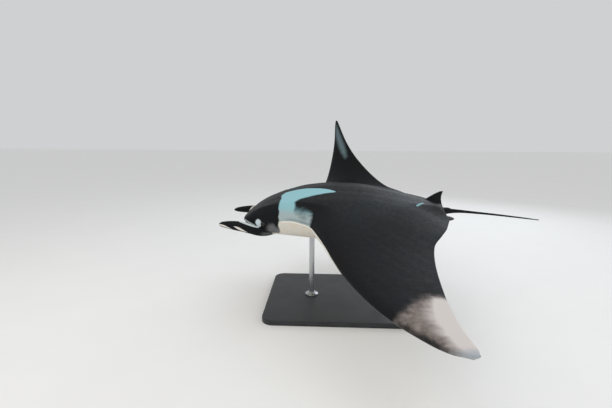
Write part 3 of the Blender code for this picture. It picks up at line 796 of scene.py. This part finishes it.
fields = {"hook": hook, "hookSideLit": hookSideLit, "rim": rim, "lobeShade": lobeShade, "tipGrey": tipGrey,
          "tipWhite": tipWhite, "farTipInShade": farTipInShade, "tipCool": tipCool, "rearStreak": rearStreak,
          "under": under, "dusk": dusk, "spots": spots, "cheek": cheek, "eyeRing": eyeRing,
          "blotch": blotch, "lip": lip, "onHorn": onHorn, "hornInner": hornInner,
          "hornWhite": hornWhite, "slit": slit}
for name, field in fields.items():
    keep(skin, name, np.clip(field, -4, 4))
keep(skin, "flat", p * width)

write(skin, toWorld(bendWings(p)))
skin.shade_smooth()
fleshNodes = ["head", "trunk", "pectoral_fin_left", "pectoral_fin_right", "cephalic_fin_left",
              "cephalic_fin_right", "dorsal_fin", "pelvic_fin_left", "pelvic_fin_right",
              "tail_base", "tail_middle", "tail_tip"]
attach(rayObject, "root")
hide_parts(*fleshNodes)
report("wings bent, markings laid")


def linear(colour):
    channels = [int(colour[i:i + 2], 16) / 255 for i in (1, 3, 5)]
    return tuple(c / 12.92 if c <= 0.04045 else ((c + 0.055) / 1.055) ** 2.4 for c in channels) + (1.0,)


def newMaterial(name):
    material = bpy.data.materials.new(name)
    material.use_nodes = True
    tree = material.node_tree
    tree.nodes.clear()
    out = tree.nodes.new("ShaderNodeOutputMaterial")
    shader = tree.nodes.new("ShaderNodeBsdfPrincipled")
    tree.links.new(shader.outputs[0], out.inputs[0])
    return material, tree, shader


def node(tree, kind, settings, inputs):
    # adds one node; an input is a value, a hex colour, another node or one of its outputs
    made = tree.nodes.new("ShaderNode" + kind)
    for key, value in settings.items():
        setattr(made, key, value)
    for key, value in inputs.items():
        if isinstance(value, bpy.types.Node):
            value = next(output for output in value.outputs if output.enabled)
        if isinstance(value, bpy.types.NodeSocket):
            tree.links.new(value, made.inputs[key])
        else:
            made.inputs[key].default_value = linear(value) if isinstance(value, str) else value
    return made


def finishShader(tree, shader, colour, noise, roughness, high):
    # links the colour, a roughness that follows a noise, and a fine bump whose height is in metres
    tree.links.new(colour.outputs[2], shader.inputs["Base Color"])
    gloss = node(tree, "MapRange", {}, {0: noise, 1: 0.3, 2: 0.7, 3: roughness[0], 4: roughness[1]})
    tree.links.new(gloss.outputs[0], shader.inputs["Roughness"])
    bumped = node(tree, "Bump", {}, {"Strength": 0.5, "Distance": 1.0, "Height": high})
    tree.links.new(bumped.outputs[0], shader.inputs["Normal"])


# Ray skin: live skin of tiny scales under slime, cast here in resin and varnished satin. It gives
# near-black that stays soft, with a wide sheen on the back, and chalky white below.
raySkin = {
    "black": "#0b0d10", "coolBlack": "#0a1217", "warmBlack": "#141012",
    # the hook's two colours are its white with painted light: cyan where blue light falls from above, greyer
    # on its lower side
    "hookBlueLit": "#93c3cb", "hookSideLit": "#a9b9bb", "lobeShade": "#6d787a", "tipDark": "#665b57",
    # rim is white: the painted highlight along the shoulder ridge, and the pale strokes on the head fins
    "tipGrey": "#988d87", "tipWhite": "#d8d0cb", "tipCool": "#a0aab3", "farTipShadeGrey": "#6f8389", "rim": "#f0ebe2",
    "belly": "#dad6cd", "cream": "#d8cbb5", "dusk": "#3c3e42", "spot": "#2e3034",
    "cheek": "#6c6c6e", "blotch": "#cddae0", "lip": "#cdd5d6", "slitRedShade": "#2a2223", "hornInner": "#3b3c3f",
    "roughness": (0.46, 0.62), "ior": 1.38, "specular": 0.25,
    "cloudMm": 420, "mottleMm": 95, "foldMm": 30, "brushMm": 55,
    "grainMm": 6,            # real scales are near 1 mm: drawn coarser so that they show
    "foldHigh": 0.0012, "grainHigh": 0.0003,
}


def skinMaterial():
    look = raySkin
    material, tree, shader = newMaterial("varnishedRaySkin")
    flat = node(tree, "Attribute", {"attribute_name": "flat"}, {}).outputs["Vector"]
    stretched = node(tree, "Mapping", {}, {"Vector": flat, "Scale": (0.35, 1.0, 1.0)})
    noises = {}
    patterns = (("cloud", 3, 0.5, flat), ("mottle", 5, 0.62, flat), ("fold", 4, 0.6, flat),
                ("grain", 2, 0.7, flat), ("brush", 4, 0.65, stretched))
    for name, detail, rough, place in patterns:
        noises[name] = node(tree, "TexNoise", {}, {"Vector": place, "Scale": 1000.0 / look[name + "Mm"],
                                                   "Detail": detail, "Roughness": rough}).outputs["Fac"]
    # each layer: field, noise that breaks its edge, by how much, where it starts and is full, strength,
    # colour
    back = [("cloud", None, 0, 0.40, 0.62, 1.0, "coolBlack"),
            ("mottle", None, 0, 0.30, 0.90, 0.8, "warmBlack"),
            ("hook", "brush", 1.5, -0.7, 0.8, 1.0, "hookBlueLit"),
            ("lobeShade", "fold", 0.4, 0.1, 1.0, 0.40, "lobeShade"),
            ("rearStreak", "mottle", 1.0, -0.2, 0.7, 0.7, "hookBlueLit"),
            ("tipGrey", "mottle", 1.4, -0.6, 0.9, 0.94, "tipTone"),
            ("tipWhite", "brush", 2.2, -0.8, 1.8, 0.95, "tipWhite"),
            ("farTipInShade", "brush", 0.8, -0.3, 1.3, 0.85, "farTipShadeGrey"),
            ("tipCool", "mottle", 0.5, 0.15, 1.0, 0.85, "tipCool")]
    belly = [("mottle", None, 0, 0.35, 0.75, 0.6, "cream"),
             ("dusk", "mottle", 0.55, 0.25, 0.75, 0.95, "dusk"),
             ("spots", "fold", 1.2, -0.4, 0.4, 0.92, "spot")]
    # rim is a painted highlight along the shoulder ridge
    over = [("rim", "fold", 0.3, 0.20, 0.90, 0.90, "rim"),
            ("cheek", "mottle", 0.25, 0.08, 0.85, 0.95, "cheek"),
            ("onHorn", None, 0, 0.2, 0.8, 1.0, "black"),
            ("hornInner", None, 0, 0.1, 0.9, 1.0, "hornInner"),
            ("hornWhite", "fold", 0.5, 0.0, 0.7, 0.95, "rim"),
            ("eyeRing", None, 0, 0.30, 0.75, 1.0, "black"),
            ("blotch", "fold", 0.9, -0.3, 0.7, 0.95, "blotch"),
            ("lip", "fold", 0.5, -0.1, 0.5, 0.95, "lip"),
            # slits: dark red tissue with painted shade for their depth
            ("slit", None, 0, 0.15, 0.85, 0.96, "slitRedShade")]
    softStep = {"interpolation_type": "SMOOTHSTEP"}
    # painted light on the hook: its cyan top, lit from above, turns greyer down its lower side
    lowness = node(tree, "Attribute", {"attribute_name": "hookSideLit"}, {}).outputs["Fac"]
    sideLitShare = node(tree, "MapRange", softStep, {0: lowness, 1: 0.0, 2: 1.0})
    hookLitTone = node(tree, "Mix", {"data_type": "RGBA"}, {0: sideLitShare, 6: look["hookBlueLit"], 7: look["hookSideLit"]})
    mottling = node(tree, "MapRange", softStep, {0: noises["mottle"], 1: 0.28, 2: 0.68})
    tipTone = node(tree, "Mix", {"data_type": "RGBA"}, {0: mottling, 6: look["tipDark"], 7: look["tipGrey"]})

    def paint(colour, layers):
        for field, breaker, amount, low, high, strength, tone in layers:
            value = noises.get(field)
            if value is None:
                value = node(tree, "Attribute", {"attribute_name": field}, {}).outputs["Fac"]
            if breaker:
                shifted = node(tree, "Math", {"operation": "SUBTRACT"}, {0: noises[breaker], 1: 0.5})
                value = node(tree, "Math", {"operation": "MULTIPLY_ADD"}, {0: shifted, 1: amount, 2: value})
            share = node(tree, "MapRange", softStep, {0: value, 1: low, 2: high, 3: 0.0, 4: strength})
            tone = tipTone if tone == "tipTone" else hookLitTone if field == "hook" else look[tone]
            colour = node(tree, "Mix", {"data_type": "RGBA"}, {0: share, 6: colour, 7: tone})
        return colour

    above = paint(look["black"], back)
    below = paint(look["belly"], belly)
    seam = node(tree, "Attribute", {"attribute_name": "under"}, {}).outputs["Fac"]
    shifted = node(tree, "Math", {"operation": "SUBTRACT"}, {0: noises["fold"], 1: 0.5})
    seam = node(tree, "Math", {"operation": "ADD"}, {0: shifted, 1: seam})
    share = node(tree, "MapRange", softStep, {0: seam, 1: -0.5, 2: 0.5})
    whole = node(tree, "Mix", {"data_type": "RGBA"}, {0: share, 6: above, 7: below})
    whole = paint(whole, over)
    folds = node(tree, "Math", {"operation": "MULTIPLY"}, {0: noises["fold"], 1: look["foldHigh"]})
    high = node(tree, "Math", {"operation": "MULTIPLY_ADD"},
                {0: noises["grain"], 1: look["grainHigh"], 2: folds})
    finishShader(tree, shader, whole, noises["fold"], look["roughness"], high)
    shader.inputs["IOR"].default_value = look["ior"]
    shader.inputs["Specular IOR Level"].default_value = look["specular"]
    return material


skin.materials.clear()
skin.materials.append(skinMaterial())
report("skin material")

# Glass eye: blown glass painted behind and polished, so the iris looks deep and takes small sharp
# highlights.
glassEye = {"iris": "#0e0a08", "irisFleck": "#231a14", "rim": "#040404", "pupil": "#010101",
            "roughness": 0.06, "ior": 1.50, "fleckMm": 3.3, "pupilHalf": 0.50, "irisHalf": 0.74,
            "pupilFlat": 1.5, "soft": 0.03, "cornea": 0.05, "look": (1.0, -0.22, 0.05)}


def eyeMaterial():
    look = glassEye
    material, tree, shader = newMaterial("paintedGlassEye")
    gaze = node(tree, "Attribute", {"attribute_name": "gaze"}, {}).outputs["Vector"]
    disc = node(tree, "VectorMath", {"operation": "MULTIPLY"}, {0: gaze, 1: (1.0, 1.0, 0.0)})
    slot = node(tree, "VectorMath", {"operation": "MULTIPLY"}, {0: gaze, 1: (1.0, look["pupilFlat"], 0.0)})
    reach = node(tree, "VectorMath", {"operation": "LENGTH"}, {0: disc}).outputs["Value"]
    slotReach = node(tree, "VectorMath", {"operation": "LENGTH"}, {0: slot}).outputs["Value"]
    fleck = node(tree, "TexNoise", {}, {"Vector": gaze, "Scale": 1000 * eye["radius"] / look["fleckMm"],
                                        "Detail": 5, "Roughness": 0.7})
    fleckShare = node(tree, "MapRange", {}, {0: fleck.outputs["Fac"], 1: 0.42, 2: 0.68})
    colour = node(tree, "Mix", {"data_type": "RGBA"}, {0: fleckShare, 6: look["iris"], 7: look["irisFleck"]})
    edges = ((slotReach, look["pupilHalf"], "pupil", 0), (reach, look["irisHalf"], "rim", 1))
    for value, half, tone, outside in edges:
        share = node(tree, "MapRange", {"interpolation_type": "SMOOTHSTEP"},
                     {0: value, 1: half - look["soft"], 2: half + look["soft"],
                      3: 1.0 - outside, 4: float(outside)})
        colour = node(tree, "Mix", {"data_type": "RGBA"}, {0: share, 6: colour, 7: look[tone]})
    tree.links.new(colour.outputs[2], shader.inputs["Base Color"])
    shader.inputs["Roughness"].default_value = look["roughness"]
    shader.inputs["IOR"].default_value = look["ior"]
    return material


eyeLook = eyeMaterial()
for sign, side in ((1, "left"), (-1, "right")):
    mesh = bpy.data.meshes.new("eyeball_" + side)
    ballMesh = bmesh.new()
    bmesh.ops.create_uvsphere(ballMesh, u_segments=64, v_segments=40, radius=eye["radius"])
    for vert in ballMesh.verts:
        facing = vert.co.normalized().z
        vert.co *= 1 + glassEye["cornea"] * max(0.0, facing - 0.8) / 0.2        # its clear front bulges
    ballMesh.to_mesh(mesh)
    ballMesh.free()
    axis = Vector(glassEye["look"]) * Vector((sign, 1, 1))
    axis.normalize()
    local = read(mesh) @ np.array(Vector((0, 0, 1)).rotation_difference(axis).to_matrix()).T
    axis = np.array(axis)
    forward = np.array((0.0, -1.0, 0.0))
    forward = forward - axis * (forward @ axis)
    forward /= np.linalg.norm(forward)
    gaze = np.stack([local @ forward, local @ np.cross(axis, forward), local @ axis], 1) / eye["radius"]
    keep(mesh, "gaze", gaze)
    seat = toWorld(np.array([[eyeX, sign * eyeY, eyeZ]]))[0]
    write(mesh, local + seat)
    mesh.shade_smooth()
    mesh.materials.append(eyeLook)
    ballObject = addObject("eyeball_" + side, mesh)
    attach(ballObject, "root")
    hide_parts("eye_" + side)
report("eyes")

# Powder-coated steel plinth: sprayed and baked, so satin charcoal with a fine orange-peel skin.
powderCoat = {"colour": "#222427", "worn": "#2f3134", "peelMm": 4, "peelHigh": 0.0004, "cloudMm": 200,
              "roughness": (0.38, 0.52)}


def plinthMaterial():
    look = powderCoat
    material, tree, shader = newMaterial("powderCoatedSteel")
    place = node(tree, "TexCoord", {}, {}).outputs["Object"]
    peel, cloud = (node(tree, "TexNoise", {}, {"Vector": place, "Scale": 1000.0 / look[size],
                                               "Detail": detail}).outputs["Fac"]
                   for size, detail in (("peelMm", 2), ("cloudMm", 6)))
    share = node(tree, "MapRange", {}, {0: cloud, 1: 0.35, 2: 0.75})
    colour = node(tree, "Mix", {"data_type": "RGBA"}, {0: share, 6: look["colour"], 7: look["worn"]})
    high = node(tree, "Math", {"operation": "MULTIPLY"}, {0: peel, 1: look["peelHigh"]})
    finishShader(tree, shader, colour, cloud, look["roughness"], high)
    return material


# Brushed stainless steel: abrasive lines drawn round the tube, which spread its highlight sideways.
brushedSteel = {"dark": "#a5a7aa", "light": "#cfd1d3", "lineRunMm": 80,
                "lineMm": 2,            # real lines are 0.2 mm wide: drawn coarser so that they show
                "lineHigh": 0.0002, "roughness": (0.24, 0.36)}


def steelMaterial():
    look = brushedSteel
    material, tree, shader = newMaterial("brushedStainlessSteel")
    place = node(tree, "TexCoord", {}, {}).outputs["Object"]
    perMetre = [1000.0 / look[size] for size in ("lineRunMm", "lineRunMm", "lineMm")]
    drawn = node(tree, "Mapping", {}, {"Vector": place, "Scale": perMetre})
    lines = node(tree, "TexNoise", {}, {"Vector": drawn, "Scale": 1.0, "Detail": 3,
                                        "Roughness": 0.7}).outputs["Fac"]
    colour = node(tree, "Mix", {"data_type": "RGBA"}, {0: lines, 6: look["dark"], 7: look["light"]})
    high = node(tree, "Math", {"operation": "MULTIPLY"}, {0: lines, 1: look["lineHigh"]})
    finishShader(tree, shader, colour, lines, look["roughness"], high)
    shader.inputs["Metallic"].default_value = 1.0
    return material


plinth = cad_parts["stand_base"]
plinth.data.materials.clear()
plinth.data.materials.append(plinthMaterial())
steel = steelMaterial()


def turnedPiece(name, profile, seat, replaced):
    # a turned piece from (radius, height) steps
    a = circle(72)
    loops = [np.stack([r * np.cos(a), r * np.sin(a), np.full_like(a, h)], 1) for r, h in profile]
    turnedPoints, turnedFaces = tube(loops)
    mesh = bpy.data.meshes.new(name)
    mesh.from_pydata((turnedPoints + np.array(seat)).tolist(), [], turnedFaces)
    faceOutward(mesh)
    mesh.shade_smooth()
    mesh.set_sharp_from_angle(angle=math.radians(35))
    mesh.materials.append(steel)
    piece = addObject(name, mesh)
    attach(piece, "root")
    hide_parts(replaced)


# a collar slopes from its rolled rim up to a neck round the rod; a rod ends in a small taper inside the body
turning = {"rim": 0.003, "rimHigh": 0.015, "slope": 0.010, "slopeIn": 0.004, "neck": 0.048,
           "neckTop": 0.045, "bore": 0.034, "taper": 0.002, "taperLow": 0.010, "taperHigh": 0.006}
for end in ("front", "rear"):
    low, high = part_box("stand_collar_" + end)
    seat = ((low[0] + high[0]) / 2, (low[1] + high[1]) / 2, 0.0)
    outer, foot, top = (high[0] - low[0]) / 2, low[2], high[2]
    turnedPiece("collar_" + end, [
        (outer - turning["rim"], foot), (outer, foot + turning["rim"]), (outer, top - turning["rimHigh"]),
        (outer - turning["slopeIn"], top - turning["slope"]), (turning["neck"], top - turning["rim"]),
        (turning["neckTop"], top), (turning["bore"], top)], seat, "stand_collar_" + end)
    low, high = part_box("stand_rod_" + end)
    thick, foot, top = (high[0] - low[0]) / 2, low[2], high[2]
    turnedPiece("rod_" + end, [
        (thick, foot), (thick, top - turning["taperLow"]),
        (thick - turning["taper"], top + turning["taperHigh"])], seat, "stand_rod_" + end)
report("stand")

# Matte painted concrete: rolled paint on a smooth slab, so pale and dull with faint clouds.
room = {"floor": "#fbfaf8", "patch": "#f6f5f3", "cloudMm": 650, "roughness": 0.85, "floorHalf": 60.0,
        "air": "#eceeef", "airStrength": 0.74}
floorMesh = bpy.data.meshes.new("floor")
reach = room["floorHalf"]
corners = [(-reach, -reach, 0), (reach, -reach, 0), (reach, reach, 0), (-reach, reach, 0)]
floorMesh.from_pydata(corners, [], [(0, 1, 2, 3)])
floor = addObject("floor", floorMesh)
floorLook, tree, shader = newMaterial("matteConcreteFloor")
place = node(tree, "TexCoord", {}, {}).outputs["Object"]
cloud = node(tree, "TexNoise", {}, {"Vector": place, "Scale": 1000.0 / room["cloudMm"], "Detail": 6})
tone = node(tree, "Mix", {"data_type": "RGBA"}, {0: cloud, 6: room["patch"], 7: room["floor"]})
tree.links.new(tone.outputs[2], shader.inputs["Base Color"])
shader.inputs["Roughness"].default_value = room["roughness"]
floorMesh.materials.append(floorLook)

world = bpy.data.worlds.new("softRoom")
bpy.context.scene.world = world
world.use_nodes = True
background = world.node_tree.nodes["Background"]
background.inputs[0].default_value = linear(room["air"])
background.inputs[1].default_value = room["airStrength"]

# name, place, size, watts, tint
lamps = [("keyLamp", (4.5, -4.0, 5.5), 4.5, 100.0, "#fff6ea"),
         ("topLamp", (-0.5, 0.5, 6.5), 5.0, 60.0, "#eef5ff"),
         ("rimLamp", (-5.5, 4.0, 4.5), 4.0, 90.0, "#eaf3ff"),
         ("tailLamp", (5.0, 6.0, 3.5), 4.0, 60.0, "#ffffff")]
for name, spot, size, watts, tint in lamps:
    lamp = bpy.data.lights.new(name, "AREA")
    lamp.energy, lamp.size, lamp.color = watts, size, linear(tint)[:3]
    lampObject = addObject(name, lamp)
    lampObject.location = spot
    lampObject.rotation_mode = "QUATERNION"
    lampObject.rotation_quaternion = (Vector((0, 0, 1.0)) - Vector(spot)).to_track_quat("-Z", "Y")

view = {"place": (3.897, -0.305, 1.819), "ahead": (-0.9833, -0.0431, -0.1767),
        "above": (-0.1763, -0.0124, 0.9843), "lens": 20.85, "sensor": 36}
cameraData = bpy.data.cameras.new("camera")
cameraData.sensor_width, cameraData.lens = view["sensor"], view["lens"]
cameraObject = addObject("camera", cameraData)
backward = -Vector(view["ahead"]).normalized()
above = Vector(view["above"])
above = (above - backward * above.dot(backward)).normalized()
turn = Matrix((above.cross(backward), above, backward)).transposed().to_4x4()
cameraObject.matrix_world = Matrix.Translation(view["place"]) @ turn
bpy.context.scene.camera = cameraObject
bpy.context.scene.view_settings.view_transform = "Standard"
report("floor, lamps and camera")
